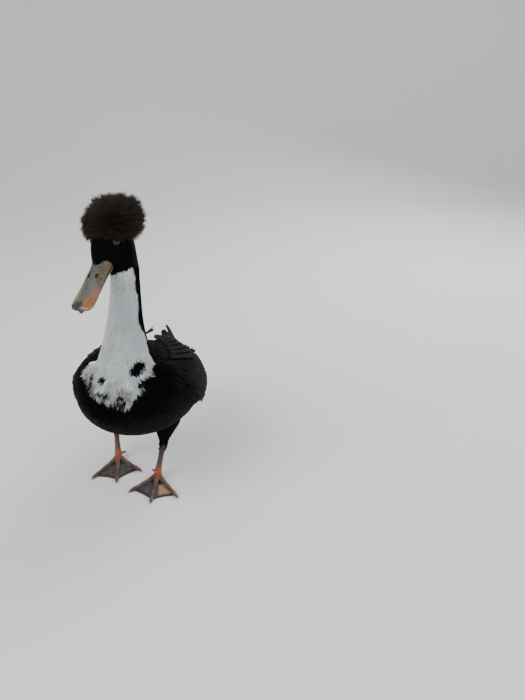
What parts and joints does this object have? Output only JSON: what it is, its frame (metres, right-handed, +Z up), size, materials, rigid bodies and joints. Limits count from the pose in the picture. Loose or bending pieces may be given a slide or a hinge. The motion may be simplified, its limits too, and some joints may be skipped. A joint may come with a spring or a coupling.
{
  "type": "crested duck",
  "caption": "Life-size crested domestic duck standing still: black body, white neck and bib, round feather crest, head turned and lowered, webbed feet flat on the floor.",
  "frame": {"origin": "on the floor, under the middle of the whole bird's box", "axes": "+Z is up, -Y is the way the body faces, +X is the duck's left side"},
  "size_m": [0.2068, 0.4212, 0.4773],
  "materials": {
    "black_plumage": "soft black contour feathers with a faint sheen",
    "white_plumage": "soft white down-backed feathers",
    "crest_plumage": "loose fluffy brown-black feathers",
    "bill": "smooth skin over horn, grey-green and yellow with pink patches",
    "horn": "dark smooth horn",
    "eye": "wet and glossy",
    "leg_skin": "fine scales, orange-brown with dark webs"
  },
  "bodies": {
    "root": {"torso": "black_plumage", "neck": "white_plumage", "head": "black_plumage", "crest": "crest_plumage", "bill_upper": "bill", "bill_lower": "bill", "bill_nail": "horn", "eye_left": "eye", "eye_right": "eye", "wing_left": "black_plumage", "wing_right": "black_plumage", "tail": "black_plumage", "thigh_left": "black_plumage", "thigh_right": "black_plumage", "shank_left": "leg_skin", "shank_right": "leg_skin", "foot_left": "leg_skin", "foot_right": "leg_skin", "claw_left_inner": "horn", "claw_left_middle": "horn", "claw_left_outer": "horn", "claw_left_hind": "horn", "claw_right_inner": "horn", "claw_right_middle": "horn", "claw_right_outer": "horn", "claw_right_hind": "horn"}
  },
  "joints": []
}
